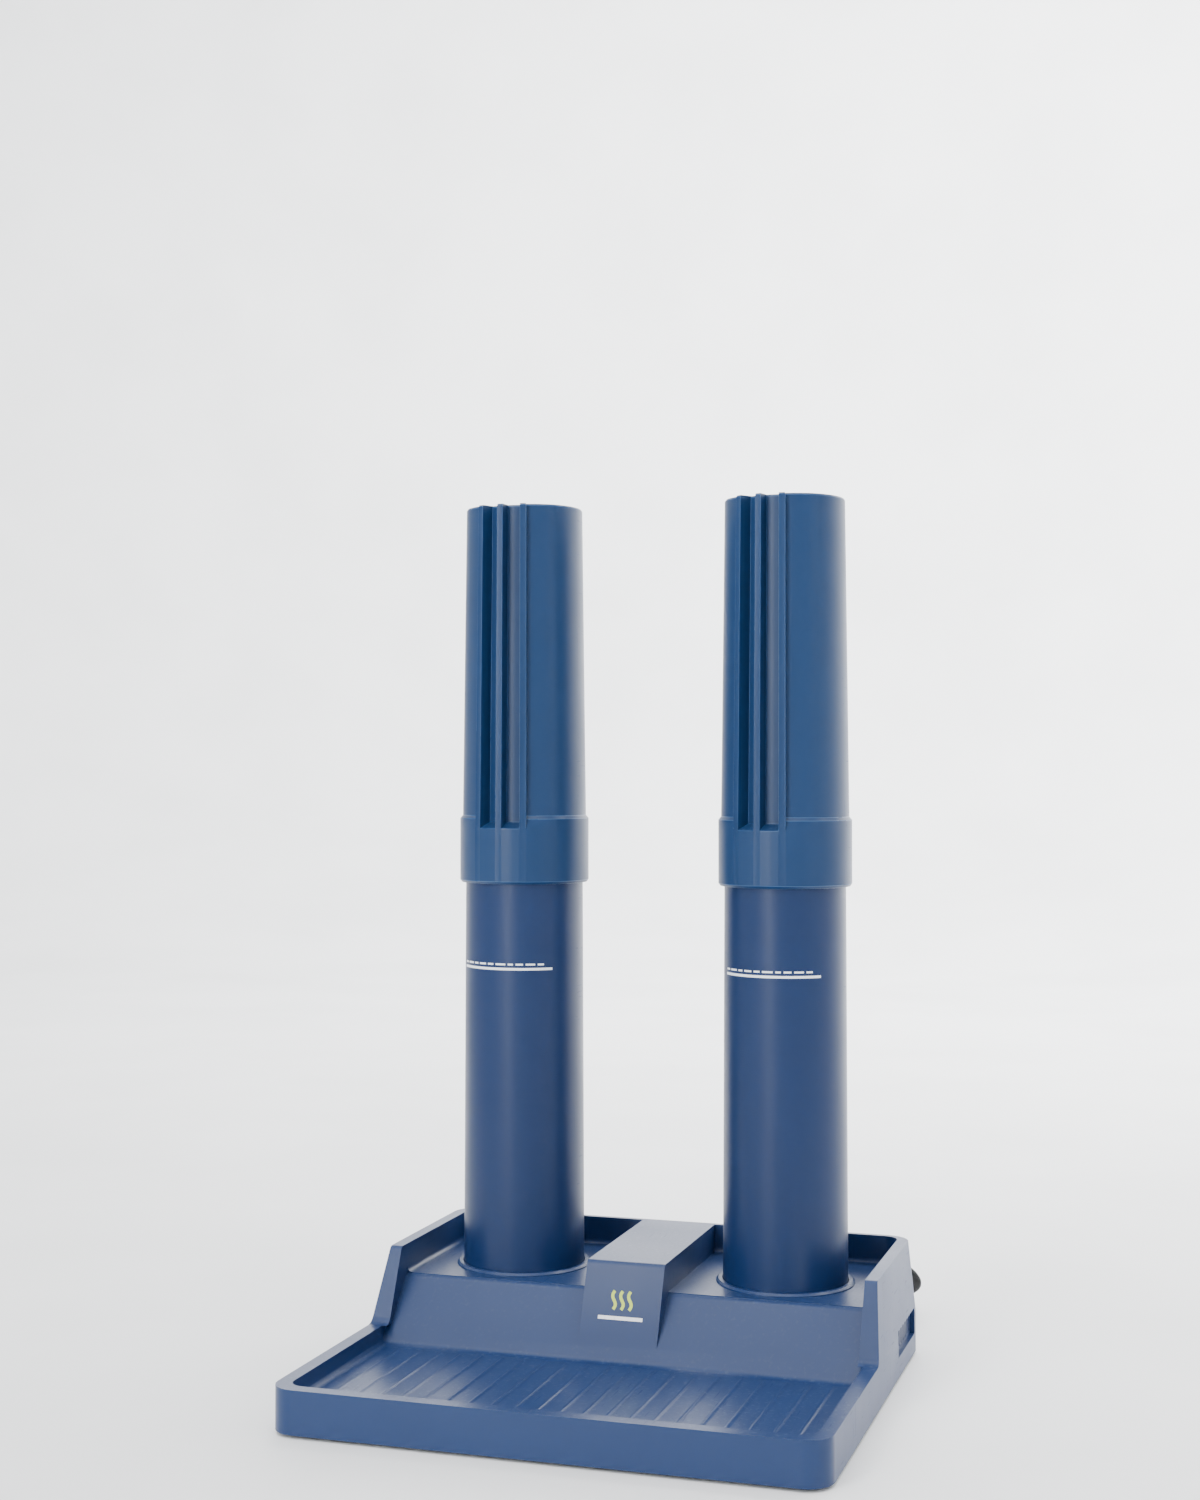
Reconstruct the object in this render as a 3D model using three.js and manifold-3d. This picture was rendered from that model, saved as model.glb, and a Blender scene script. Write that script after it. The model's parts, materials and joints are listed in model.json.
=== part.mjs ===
// Convection boot dryer: hollow base with drip tray and deck, two lower tubes in sockets, two fluted
// extension tubes, heaters and wiring under the deck, power cord coiled behind.
// Millimetres, +Z up, front of the dryer faces -Y, origin on the ground under the middle of the base.
import * as THREE from 'three';
import { mergeVertices } from 'three/addons/utils/BufferGeometryUtils.js';
import Module from 'manifold-3d';

const wasm = await Module();
wasm.setup();

// ---------------------------------------------------------------- driving dimensions
const GAP = 0.3;                    // clearance between pieces that touch
const SIDES = [{ name: 'left', x: -1 }, { name: 'right', x: 1 }];

const WIDTH = 317;                  // base, at the ground
const DEPTH = 290;
const LEAN = 4.5;                   // how far each side wall leans in by its top
const CORNER = 15;                  // vertical corner radius
const WALL = 2.6;                   // moulding thickness
const SHELL_FOOT = 2;               // lower edge of the shell
const RIM_TOP = 27;
const RIM_WIDTH = 8.7;
const TRAY_FLOOR = 16;
const DECK_TOP = 53;
const WALL_TOP = 71;
const RECESS_HALF = 146.5;          // deck recess, half width between the side walls
const REAR_WALL_INNER = 140;        // inner face of the thin rear wall
const BRIDGE_HALF = 24.5;           // centre bridge, half width

const TUBE_X = 86;                  // tube centres, either side of the middle
const TUBE_Y = 78;
const TUBE_RADIUS = 38;             // lower tube, outside
const TUBE_RADIUS_AT = 240;         // the height where the tube has that radius
const TUBE_DRAFT = 0.004;           // radius lost for each millimetre of height
const TUBE_WALL = 2.2;
const TUBE_TOP = 330.5;
const SOCKET_LEDGE = 46;            // the ledge that carries grille and tube
const SOCKET_TOP = 54.8;            // the socket's low rim on the deck
const SOCKET_OUTER = 43;
const GRILLE_THICKNESS = 2.7;

const COLLAR_BOTTOM = 298;
const COLLAR_HEIGHT = 43;           // to the top of its sloped shoulder
const SEAT_DEPTH = 33;              // how far the lower tube enters the collar
const COLLAR_RADIUS = 41.5;
const EXTENSION_LENGTH = 240;
const EXTENSION_RADIUS = 39.8;      // body just above the collar
const EXTENSION_TOP_RADIUS = 37.4;
const TURN = { left: -4, right: -12 };   // degrees, how each extension sits turned from straight ahead

const PLATE_BOTTOM = 3;
const PLATE_TOP = 5.5;
const FOOT_PLACES = [[-122, -105], [122, -105], [-122, 108], [122, 108]];
const SCREW_PLACES = [[-138, -122], [0, -122], [138, -122], [-138, 118], [0, 118], [138, 118]];
const SHANK_RADIUS = 1.4;

const CORD_RADIUS = 3;
const GLAND = { x: 133, y: 145, z: 43 };         // where the cord leaves the rear wall
const BOOT_END = 176;
const COIL = { x: 8, y: 216, inner: 20.2, outer: 49.4, bottom: 0.85, top: 13.15 };

// ---------------------------------------------------------------- materials
const paint = (color, roughness, metalness = 0) =>
  new THREE.MeshStandardMaterial({ color, roughness, metalness });
const LOOKS = {
  base: paint(0x26456f, 0.4),
  tube: paint(0x27426d, 0.35),
  extension: paint(0x2a5585, 0.35),
  blackPlastic: paint(0x17181a, 0.5),
  rubber: paint(0x1b1b1c, 0.8),
  steel: paint(0xb9bcc0, 0.35, 1),
  aluminium: paint(0xc9ccd0, 0.3, 1),
  brass: paint(0xb89a55, 0.3, 1),
  ceramic: paint(0xe9e4d8, 0.6),
  wire: paint(0x9a6f4a, 0.5, 1),
  sleeve: paint(0xd8d3c4, 0.7),
  terminal: paint(0xdedbd0, 0.55),
};

const part = new THREE.Group();

// ---------------------------------------------------------------- geometry helpers
function toSolid(geometry) {
  const bare = geometry.index ? geometry.toNonIndexed() : geometry.clone();
  bare.deleteAttribute('normal');
  bare.deleteAttribute('uv');
  const merged = mergeVertices(bare, 1e-4);
  return new wasm.Manifold(new wasm.Mesh({
    numProp: 3,
    vertProperties: new Float32Array(merged.attributes.position.array),
    triVerts: new Uint32Array(merged.index.array),
  }));
}

function toGeometry(solid) {
  const mesh = solid.getMesh();
  const geometry = new THREE.BufferGeometry();
  geometry.setAttribute('position', new THREE.BufferAttribute(new Float32Array(mesh.vertProperties), 3));
  geometry.setIndex(new THREE.BufferAttribute(new Uint32Array(mesh.triVerts), 1));
  geometry.computeVertexNormals();
  return geometry;
}

function add(name, shape, look) {
  const geometry = shape.isBufferGeometry ? shape : toGeometry(shape);
  const mesh = new THREE.Mesh(geometry, look);
  mesh.name = name;
  part.add(mesh);
  return mesh;
}

const join = (solids) => solids.reduce((whole, next) => whole.add(next));

function box(x0, x1, y0, y1, z0, z1) {
  const geometry = new THREE.BoxGeometry(x1 - x0, y1 - y0, z1 - z0);
  return geometry.translate((x0 + x1) / 2, (y0 + y1) / 2, (z0 + z1) / 2);
}

// A solid of revolution about a vertical axis; profile is [radius, z] from the bottom up, outside first.
function turned(profile, segments, x = 0, y = 0) {
  const points = profile.map(([radius, z]) => new THREE.Vector2(radius, z));
  return new THREE.LatheGeometry(points, segments).rotateX(Math.PI / 2).translate(x, y, 0);
}

const cylinder = (x, y, radius, z0, z1, segments = 32) =>
  turned([[0, z0], [radius, z0], [radius, z1], [0, z1]], segments, x, y);

// Replaces each corner [a, b, radius] of a path by an arc.
function rounded(corners, steps = 5) {
  const path = [];
  corners.forEach(([a, b, radius = 0], i) => {
    const here = new THREE.Vector2(a, b);
    if (radius === 0) {
      path.push(here);
      return;
    }
    const before = new THREE.Vector2(...corners[(i + corners.length - 1) % corners.length]).sub(here);
    const after = new THREE.Vector2(...corners[(i + 1) % corners.length]).sub(here);
    before.normalize();
    after.normalize();
    const half = Math.acos(before.dot(after)) / 2;
    const middle = before.clone().add(after).normalize();
    const centre = here.clone().addScaledVector(middle, radius / Math.sin(half));
    const from = here.clone().addScaledVector(before, radius / Math.tan(half)).sub(centre);
    const turn = Math.sign(before.cross(after)) * (Math.PI - 2 * half);
    for (let step = 0; step <= steps; step += 1) {
      path.push(from.clone().rotateAround(new THREE.Vector2(), (-turn * step) / steps).add(centre));
    }
  });
  return path;
}

// An outline in the Y-Z plane, carried along X.
function alongX(outline, x0, x1) {
  const section = new THREE.Shape(outline);
  const geometry = new THREE.ExtrudeGeometry(section, { depth: x1 - x0, bevelEnabled: false });
  const axes = new THREE.Matrix4().makeBasis(
    new THREE.Vector3(0, 1, 0), new THREE.Vector3(0, 0, 1), new THREE.Vector3(1, 0, 0));
  return geometry.applyMatrix4(axes).translate(x0, 0, 0);
}

// A closed skin through a stack of level outlines that all have the same number of points.
function stacked(levels) {
  const count = levels[0].outline.length;
  const positions = levels.flatMap(({ outline, z }) => outline.flatMap((p) => [p.x, p.y, z]));
  const faces = [];
  for (let level = 0; level + 1 < levels.length; level += 1) {
    for (let i = 0; i < count; i += 1) {
      const a = level * count + i;
      const b = level * count + ((i + 1) % count);
      faces.push(a, b, b + count, a, b + count, a + count);
    }
  }
  const cap = THREE.ShapeUtils.triangulateShape(levels[0].outline, []);
  cap.forEach(([a, b, c]) => faces.push(a, c, b));
  const last = (levels.length - 1) * count;
  const lid = THREE.ShapeUtils.triangulateShape(levels.at(-1).outline, []);
  lid.forEach(([a, b, c]) => faces.push(last + a, last + b, last + c));
  const geometry = new THREE.BufferGeometry();
  geometry.setAttribute('position', new THREE.Float32BufferAttribute(positions, 3));
  geometry.setIndex(faces);
  return geometry;
}

const roundedBox = (x0, x1, y0, y1, radius, steps = 6) =>
  rounded([[x0, y0, radius], [x1, y0, radius], [x1, y1, radius], [x0, y1, radius]], steps);

// A round bar along a curve.
function bar(points, radius, sides, steps, closed = false) {
  const section = new THREE.Shape(Array.from({ length: sides }, (_, i) => new THREE.Vector2(
    radius * Math.cos((2 * Math.PI * i) / sides), radius * Math.sin((2 * Math.PI * i) / sides))));
  const curve = new THREE.CatmullRomCurve3(points, closed, 'centripetal');
  return new THREE.ExtrudeGeometry(section, { steps, extrudePath: curve, bevelEnabled: false });
}

// ---------------------------------------------------------------- base shell
// Each surface of the base is made twice: as it is, and moved inwards by the wall for the hollow.
const FAR = 260;
const BELOW = SHELL_FOOT - 5;
const STEP_EDGE = 28;               // where the step's rounded edge meets the flat deck

function envelope(inset) {
  const halfAt = (z) => WIDTH / 2 - inset - (LEAN * Math.max(0, z - RIM_TOP)) / (WALL_TOP - RIM_TOP);
  const outline = (z) => {
    const half = halfAt(z);
    const rear = DEPTH / 2 - inset - (1.5 * Math.max(0, z - RIM_TOP)) / (WALL_TOP - RIM_TOP);
    return roundedBox(-half, half, inset - DEPTH / 2, rear, CORNER - inset);
  };
  const bottom = inset > 0 ? BELOW : SHELL_FOOT;
  return toSolid(stacked([bottom, RIM_TOP, WALL_TOP - inset].map((z) => ({ z, outline: outline(z) }))));
}

// A sloped face as a path [y, z], pushed back and down by the inset.
function slope(low, high, floor, top, inset, footRadius, edgeRadius) {
  const along = new THREE.Vector2(high[0] - low[0], high[1] - low[1]).normalize();
  const back = new THREE.Vector2(along.y, -along.x).multiplyScalar(inset);
  const yAt = (z) => low[0] + back.x + ((z - low[1] - back.y) * along.x) / along.y;
  return [
    [-FAR, floor - inset],
    [yAt(floor - inset), floor - inset, footRadius && footRadius + inset],
    [yAt(top - inset), top - inset, Math.max(0.5, edgeRadius - inset)], [FAR, top - inset],
  ];
}

const air = (path) => rounded([...path, [FAR, FAR], [-FAR, FAR]]);

const WALL_END = { low: [-1, RIM_TOP], high: [19, WALL_TOP] };
const STEP_FACE = { low: [2.8, 25.6], high: [23.2, 48.6] };
const BRIDGE_FACE = { low: [2.6, 25.6], high: [20.5, WALL_TOP] };

function overWalls(inset) {
  const path = slope(WALL_END.low, WALL_END.high, RIM_TOP, WALL_TOP, inset, 7, 3);
  return toSolid(alongX(air(path), -FAR, FAR));
}

function overStep(inset) {
  const path = slope(STEP_FACE.low, STEP_FACE.high, TRAY_FLOOR, DECK_TOP, inset, 8, 8);
  return toSolid(alongX(air(path), -FAR, FAR));
}

function bridge(inset) {
  const path = slope(BRIDGE_FACE.low, BRIDGE_FACE.high, BELOW, WALL_TOP, inset, 0, 3);
  path[0] = [FAR, BELOW - inset];
  return toSolid(alongX(rounded(path), inset - BRIDGE_HALF, BRIDGE_HALF - inset));
}

function recessPlan(inset) {
  const trayHalf = WIDTH / 2 - RIM_WIDTH + inset;
  const trayFront = RIM_WIDTH - DEPTH / 2 - inset;
  const trayDeep = RIM_TOP - TRAY_FLOOR + inset + 0.05;
  const tray = [[5, 0], [2.2, 0.8], [0.6, 2.4], [0, 5], [0, trayDeep]].map(([shrink, rise]) => ({
    z: TRAY_FLOOR - inset + rise,
    outline: roundedBox(shrink - trayHalf, trayHalf - shrink, trayFront + shrink, 40, 9 + inset - shrink / 2),
  }));
  const half = RECESS_HALF + inset;
  const rear = REAR_WALL_INNER + inset;
  const deck = [[3.5, 0], [1.5, 0.6], [0.4, 1.8], [0, 3.5], [0, 60]].map(([shrink, rise]) => ({
    z: DECK_TOP - inset + rise,
    outline: roundedBox(shrink - half, half - shrink, -30, rear - shrink, 9 + inset - shrink / 2),
  }));
  const front = box(-half, half, -30, STEP_EDGE, RIM_TOP - inset, FAR);
  return join([stacked(tray), stacked(deck), front].map(toSolid));
}

function baseSurface(inset) {
  const hollow = recessPlan(inset).intersect(overStep(inset)).subtract(bridge(inset));
  return envelope(inset).subtract(overWalls(inset)).subtract(hollow);
}

// Low ridges with sloping sides, from front to back along the tray floor.
function trayRibs() {
  const pitch = 13.4;
  const section = new THREE.Shape([[-1.9, -0.5], [1.9, -0.5], [1.9, 0], [0.7, 0.7], [-0.7, 0.7], [-1.9, 0]]
    .map(([x, rise]) => new THREE.Vector2(x, rise)));
  const ribs = [];
  for (let i = -10; i <= 10; i += 1) {
    const rib = new THREE.ExtrudeGeometry(section, { depth: 114, bevelEnabled: false });
    ribs.push(toSolid(rib.rotateX(Math.PI / 2).translate(i * pitch, -14, TRAY_FLOOR)));
  }
  return join(ribs);
}

// A louvred air inlet: a thicker pad inside the side wall, a pocket in it and slots through it.
const INLET = { y0: 66, y1: 126, z0: 14, z1: 30, deep: 3 };

function acrossSide(side, from, to, y0, y1, z0, z1) {
  const ends = [side * (WIDTH / 2 - from), side * (WIDTH / 2 - to)];
  return toSolid(box(Math.min(...ends), Math.max(...ends), y0, y1, z0, z1));
}

function inletPad(side) {
  return acrossSide(side, 6, 1.5, INLET.y0 - 3, INLET.y1 + 3, INLET.z0 - 3, INLET.z1 + 3);
}

function inletCut(side) {
  const cuts = [acrossSide(side, INLET.deep, -5, INLET.y0, INLET.y1, INLET.z0, INLET.z1)];
  for (let y = INLET.y0 + 2.25; y + 3.5 < INLET.y1; y += 7.5) {
    cuts.push(acrossSide(side, 15, -5, y, y + 3.5, INLET.z0 + 2, INLET.z1 - 2));
  }
  return join(cuts);
}

function baseShell() {
  let shell = baseSurface(0).subtract(baseSurface(WALL));
  const bosses = SCREW_PLACES.map(([x, y]) => {
    const behindStep = x === 0 ? WALL_TOP : DECK_TOP;
    const ceiling = y < 0 ? TRAY_FLOOR : behindStep;
    return toSolid(cylinder(x, y, 4, PLATE_TOP + GAP, ceiling - 1, 20));
  });
  shell = join([shell, trayRibs(), ...bosses]);
  SIDES.forEach(({ x }) => {
    const centre = [x * TUBE_X, TUBE_Y];
    const profile = [[0, SOCKET_LEDGE - 5], [SOCKET_OUTER, SOCKET_LEDGE - 5], [SOCKET_OUTER, DECK_TOP + 0.6],
      [SOCKET_OUTER - 1.4, SOCKET_TOP], [0, SOCKET_TOP]];
    const boss = turned(profile, 64, ...centre);
    const seat = radiusOfTube(SOCKET_LEDGE) + 0.5;
    shell = shell.add(toSolid(boss)).add(inletPad(x));
    shell = shell.subtract(toSolid(cylinder(...centre, seat, SOCKET_LEDGE, FAR, 64)));
    shell = shell.subtract(toSolid(cylinder(...centre, seat - 4, 0, FAR, 64)));
    shell = shell.subtract(inletCut(x));
  });
  SCREW_PLACES.forEach(([x, y]) => {
    shell = shell.subtract(toSolid(cylinder(x, y, SHANK_RADIUS + GAP, 0, 14, 16)));
  });
  const bush = new THREE.CylinderGeometry(6.6, 6.6, 30, 24).translate(GLAND.x, GLAND.y, GLAND.z);
  return shell.subtract(toSolid(bush));
}

function radiusOfTube(z) {
  return TUBE_RADIUS + (TUBE_RADIUS_AT - z) * TUBE_DRAFT;
}

add('base_shell', baseShell(), LOOKS.base);

// ---------------------------------------------------------------- bottom plate, feet and screws
const THROUGH_PLATE = PLATE_TOP + 3;
const FOOT_STEM = 2.7;              // radius of the stem that holds each foot in its hole

function bottomPlate() {
  const edge = WALL + 0.5;
  const half = WIDTH / 2 - edge;
  const outline = roundedBox(-half, half, edge - DEPTH / 2, DEPTH / 2 - edge, CORNER - edge);
  let plate = toSolid(stacked([{ z: PLATE_BOTTOM, outline }, { z: PLATE_TOP, outline }]));
  SIDES.forEach(({ x }) => {
    for (const offset of [-30, -22.5, -15, -7.5, 7.5, 15, 22.5, 30]) {
      const middle = x * TUBE_X + offset;
      const slot = box(middle - 1.8, middle + 1.8, TUBE_Y - 24, TUBE_Y + 24, 0, THROUGH_PLATE);
      plate = plate.subtract(toSolid(slot));
    }
  });
  FOOT_PLACES.forEach(([x, y]) => {
    plate = plate.subtract(toSolid(cylinder(x, y, FOOT_STEM + GAP, 0, THROUGH_PLATE, 20)));
  });
  SCREW_PLACES.forEach(([x, y]) => {
    plate = plate.subtract(toSolid(cylinder(x, y, SHANK_RADIUS + GAP, 0, THROUGH_PLATE, 16)));
  });
  return plate;
}

add('bottom_plate', bottomPlate(), LOOKS.blackPlastic);

FOOT_PLACES.forEach(([x, y], i) => {
  const foot = [[0, 0], [8, 0], [9, 1], [9, PLATE_BOTTOM - GAP], [FOOT_STEM, PLATE_BOTTOM - GAP],
    [FOOT_STEM, PLATE_TOP + GAP], [4, PLATE_TOP + GAP], [3, PLATE_TOP + 2.5], [0, PLATE_TOP + 2.5]];
  add(`rubber_foot_${i + 1}`, turned(foot, 24, x, y), LOOKS.rubber);
});

SCREW_PLACES.forEach(([x, y], i) => {
  const head = PLATE_BOTTOM - GAP;
  const screw = [[0, head - 1.8], [2.4, head - 1.8], [3.1, head - 0.9], [3.1, head], [SHANK_RADIUS, head],
    [SHANK_RADIUS, 12.2], [0, 13.4]];
  add(`bottom_screw_${i + 1}`, turned(screw, 16, x, y), LOOKS.steel);
});

// ---------------------------------------------------------------- tubes
function lowerTube(x) {
  const bottom = SOCKET_LEDGE + GRILLE_THICKNESS + 2 * GAP;
  const outer = [bottom, TUBE_TOP - 1].map((z) => [radiusOfTube(z), z]);
  const inner = [TUBE_TOP, bottom].map((z) => [radiusOfTube(z) - TUBE_WALL, z]);
  const lip = [radiusOfTube(TUBE_TOP) - 0.6, TUBE_TOP];
  return turned([...outer, lip, ...inner, outer[0]], 72, x * TUBE_X, TUBE_Y);
}

// Flutes of the extension tube. Angles are degrees from straight ahead.
const RIB_AT = 22;
const RIB_HALF = 2.8;
const DEEP = 9;                     // depth of the two centre grooves
const EXTENSION_WALL = 2;
const SIDE_GROOVE = 2.2;            // depth of the outer grooves beside their ribs, fading to none
const SIDE_GROOVE_END = 52;
const SHOULDER = 2;                 // height of the sloped ledge where a panel starts

function extensionRadius(angle, z) {
  const rise = z - COLLAR_BOTTOM;
  const above = rise - COLLAR_HEIGHT;
  const taper = (EXTENSION_RADIUS - EXTENSION_TOP_RADIUS) / (EXTENSION_LENGTH - COLLAR_HEIGHT);
  const body = EXTENSION_RADIUS - Math.max(0, above) * taper;
  const proud = COLLAR_RADIUS - Math.max(0, above) * taper;
  const away = Math.abs(angle) - 0.001;            // an angle on a rib's edge counts as on the rib
  const shoulder = THREE.MathUtils.clamp((above + SHOULDER) / SHOULDER, 0, 1);
  const groove = THREE.MathUtils.clamp((above + 8) / 4, 0, 1);
  const panel = COLLAR_RADIUS + (body - COLLAR_RADIUS) * shoulder;
  if (away <= RIB_HALF || Math.abs(away - RIB_AT) <= RIB_HALF + 0.01) {
    return proud;
  }
  if (away < RIB_AT) {
    return proud - DEEP * groove;
  }
  if (away < SIDE_GROOVE_END) {
    const run = (away - RIB_AT - RIB_HALF) / (SIDE_GROOVE_END - RIB_AT - RIB_HALF);
    return panel - SIDE_GROOVE * (1 - run) * groove;
  }
  return panel;
}

// The ribs are solid: the bore steps once, behind the middle of each outer rib.
function boreRadius(angle, z) {
  const away = Math.abs(angle);
  const clearOfRib = away < RIB_AT ? RIB_AT / 2 : Math.max(away, RIB_AT + RIB_HALF + 0.1);
  return extensionRadius(clearOfRib, z) - EXTENSION_WALL;
}

function extensionAngles() {
  const edge = 0.35;
  const angles = [];
  for (const rib of [-RIB_AT, 0, RIB_AT]) {
    angles.push(rib - RIB_HALF - edge, rib - RIB_HALF, rib, rib + RIB_HALF, rib + RIB_HALF + edge);
  }
  for (const groove of [-RIB_AT / 2, RIB_AT / 2]) {
    angles.push(groove - 3, groove, groove + 3);
  }
  for (let angle = RIB_AT + RIB_HALF + 5; angle < 180; angle += 5.5) {
    angles.push(angle, -angle);
  }
  angles.push(180);
  return angles.sort((a, b) => a - b);
}

function extensionTube(x, turn) {
  const angles = extensionAngles();
  const top = COLLAR_BOTTOM + EXTENSION_LENGTH;
  const shoulder = COLLAR_BOTTOM + COLLAR_HEIGHT;
  const ledge = COLLAR_BOTTOM + SEAT_DEPTH;
  const seat = radiusOfTube(COLLAR_BOTTOM) + 0.35;
  const rings = [
    { z: COLLAR_BOTTOM, radius: () => COLLAR_RADIUS - 1.2 },
    { z: COLLAR_BOTTOM + 1.6, radius: () => COLLAR_RADIUS },
    ...[shoulder - 8, shoulder - 4, shoulder - SHOULDER, shoulder].map((z) => (
      { z, radius: (angle) => extensionRadius(angle, z) })),
    { z: top - 1, radius: (angle) => extensionRadius(angle, top) },
    { z: top, radius: (angle) => extensionRadius(angle, top) - 0.7 },
    { z: top, radius: (angle) => boreRadius(angle, top) },
    { z: shoulder + 4, radius: (angle) => boreRadius(angle, shoulder + 4) },
    { z: ledge, radius: (angle) => Math.min(seat - 3, boreRadius(angle, shoulder)) },
    { z: ledge, radius: () => seat },
    { z: COLLAR_BOTTOM, radius: () => seat },
  ];
  const positions = [];
  const faces = [];
  const count = angles.length;
  rings.forEach(({ z, radius }, level) => {
    angles.forEach((angle, i) => {
      const theta = THREE.MathUtils.degToRad(angle + turn);
      const r = radius(angle);
      positions.push(x * TUBE_X + r * Math.sin(theta), TUBE_Y - r * Math.cos(theta), z);
      const a = level * count + i;
      const b = level * count + ((i + 1) % count);
      const up = ((level + 1) % rings.length) * count;
      faces.push(a, b, up + ((i + 1) % count), a, up + ((i + 1) % count), up + i);
    });
  });
  const geometry = new THREE.BufferGeometry();
  geometry.setAttribute('position', new THREE.Float32BufferAttribute(positions, 3));
  geometry.setIndex(faces);
  return geometry;
}

function guardGrille(x) {
  const low = SOCKET_LEDGE + GAP;
  const high = low + GRILLE_THICKNESS - GAP;
  const rim = radiusOfTube(SOCKET_LEDGE) - 0.2;
  const centre = [x * TUBE_X, TUBE_Y];
  const ring = turned([[rim, low], [rim, high], [rim - 5, high], [rim - 5, low], [rim, low]], 48, ...centre);
  const bars = [-20, -10, 0, 10, 20].map((offset) => {
    const reach = Math.sqrt((rim - 2.5) ** 2 - offset ** 2);
    return box(centre[0] + offset - 1.2, centre[0] + offset + 1.2, TUBE_Y - reach, TUBE_Y + reach, low, high);
  });
  bars.push(box(centre[0] - rim + 3, centre[0] + rim - 3, TUBE_Y - 1.2, TUBE_Y + 1.2, low, high));
  return join([ring, ...bars].map(toSolid));
}

SIDES.forEach(({ name, x }) => {
  add(`lower_tube_${name}`, lowerTube(x), LOOKS.tube);
  add(`extension_tube_${name}`, extensionTube(x, TURN[name]), LOOKS.extension);
  add(`guard_grille_${name}`, guardGrille(x), LOOKS.blackPlastic);
});

// ---------------------------------------------------------------- heaters
const CORE_BOTTOM = PLATE_TOP + GAP;
const SHIELD_BOTTOM = 13;
const COIL_RADIUS = 6.2;

function heaterCore(x) {
  return turned([[0, CORE_BOTTOM], [10, CORE_BOTTOM], [10, SHIELD_BOTTOM - GAP], [5, SHIELD_BOTTOM - GAP],
    [5, 36], [9, 36.5], [9, 38.5], [0, 38.5]], 24, x * TUBE_X, TUBE_Y);
}

function heaterCoil(x) {
  const turns = 5;
  const perTurn = 12;
  const points = Array.from({ length: turns * perTurn + 1 }, (_, i) => new THREE.Vector3(
    x * TUBE_X + COIL_RADIUS * Math.cos((2 * Math.PI * i) / perTurn),
    TUBE_Y + COIL_RADIUS * Math.sin((2 * Math.PI * i) / perTurn),
    17 + (16 * i) / (turns * perTurn)));
  return bar(points, 0.8, 6, turns * perTurn);
}

function heatShield(x) {
  const low = SHIELD_BOTTOM;
  const dish = [[5.4, low], [27, low], [31, low + 4], [31, low + 5], [26.6, low + 1], [5.4, low + 1],
    [5.4, low]];
  return turned(dish, 40, x * TUBE_X, TUBE_Y);
}

SIDES.forEach(({ name, x }) => {
  add(`heater_core_${name}`, heaterCore(x), LOOKS.ceramic);
  add(`heater_coil_${name}`, heaterCoil(x), LOOKS.wire);
  add(`heat_shield_${name}`, heatShield(x), LOOKS.aluminium);
});

// ---------------------------------------------------------------- wiring inside the base
const LEAD_HEIGHT = 8.2;
const BLOCK = { x: 0, y: 78, halfX: 13, halfY: 8, top: 17 };
const CUTOUT = { x0: -58, x1: -36, y: 88 };
const CLAMP = { x: 96, y: 124 };
const BUSH = { inner: 139.3, wallInner: 141.4, wallOuter: 144.8 };

function lead(places, radius = 1.5) {
  const points = places.map(([x, y, z = LEAD_HEIGHT]) => new THREE.Vector3(x, y, z));
  return bar(points, radius, 8, 20);
}

const plateRest = PLATE_TOP + GAP;
add('terminal_block', box(BLOCK.x - BLOCK.halfX, BLOCK.x + BLOCK.halfX,
  BLOCK.y - BLOCK.halfY, BLOCK.y + BLOCK.halfY, plateRest, BLOCK.top), LOOKS.terminal);

const cutout = new THREE.CylinderGeometry(3, 3, CUTOUT.x1 - CUTOUT.x0, 20).rotateZ(Math.PI / 2);
cutout.translate((CUTOUT.x0 + CUTOUT.x1) / 2, CUTOUT.y, LEAD_HEIGHT + 1);
add('thermal_cutout', cutout, LOOKS.aluminium);

const blockSide = BLOCK.halfX + GAP;
const coreSide = TUBE_X - 10 - GAP;
add('cutout_lead', lead([[CUTOUT.x1 + GAP, CUTOUT.y], [CUTOUT.x1 + 3, CUTOUT.y], [-28, 86], [-21, 81.5],
  [-16.5, 80], [-blockSide, 80]]), LOOKS.sleeve);
add('heater_lead_left', lead([[CUTOUT.x0 - GAP, CUTOUT.y], [CUTOUT.x0 - 3, CUTOUT.y], [-66, 85], [-70, 80],
  [-73, TUBE_Y], [-coreSide, TUBE_Y]]), LOOKS.sleeve);
add('heater_lead_right', lead([[blockSide, TUBE_Y], [16.5, TUBE_Y], [32, 75], [52, 81], [71, TUBE_Y],
  [coreSide, TUBE_Y]]), LOOKS.sleeve);

add('cord_inner_end', lead([[GLAND.x, BUSH.inner - GAP, GLAND.z], [GLAND.x, 136, GLAND.z], [130.5, 130, 36],
  [124.5, 127, 24], [115, 125.5, 14], [105, 124.5, 10], [96, 124, 9.4], [70, 123, 9.2], [30, 114, 9.2],
  [10, 104, 9.6], [4.5, 95, 10], [4, 90.5, 10], [4, BLOCK.y + BLOCK.halfY + GAP, 10]], CORD_RADIUS),
LOOKS.blackPlastic);

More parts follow.
